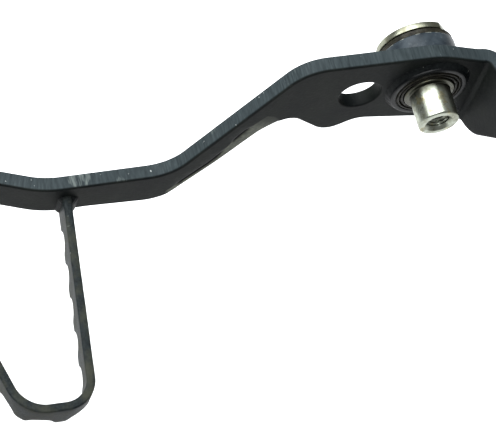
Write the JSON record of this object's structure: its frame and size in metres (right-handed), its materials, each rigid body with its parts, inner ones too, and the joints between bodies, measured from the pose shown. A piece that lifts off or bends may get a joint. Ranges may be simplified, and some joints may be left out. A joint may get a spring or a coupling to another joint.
{
  "type": "motorcycle rear brake pedal",
  "caption": "Right-hand motorcycle brake pedal: stamped steel lever with a serrated toe loop, turning on a flanged pivot pin with a threaded end.",
  "frame": {"origin": "on the pivot axis, in the plane of the lever plate's outboard face", "axes": "+X to the rear of the motorcycle, +Y inboard along the pivot axis, +Z down when fitted (the pedal is stored lying as in a catalogue picture, teeth down)"},
  "size_m": [0.2443, 0.1166, 0.0847],
  "materials": {
    "black_coated_steel": "semi-gloss black coating on steel",
    "black_coated_weld": "weld bead under the same black coating",
    "bronze": "plain sintered bronze bush",
    "seal_rubber": "greasy dark olive-brown rubber",
    "zinc_plated_steel": "worn zinc plating with a faint yellow tint"
  },
  "bodies": {
    "pin": {"pivot_pin": "zinc_plated_steel"},
    "lever": {"lever_plate": "black_coated_steel", "toe_loop": "black_coated_steel", "pivot_boss": "black_coated_steel", "pivot_bush": "bronze", "seal_outboard": "seal_rubber", "seal_inboard": "seal_rubber", "boss_weld_inboard": "black_coated_weld", "boss_weld_outboard": "black_coated_weld", "rear_root_weld_rear_side": "black_coated_weld", "rear_root_weld_front_side": "black_coated_weld", "front_root_weld_rear_side": "black_coated_weld", "front_root_weld_front_side": "black_coated_weld"}
  },
  "joints": [
    {"name": "pedal_pivot", "type": "hinge", "parent": "pin", "child": "lever", "pos_m": [0, 0, 0], "axis": [0, 1, 0], "range_deg": [0, 18]}
  ]
}
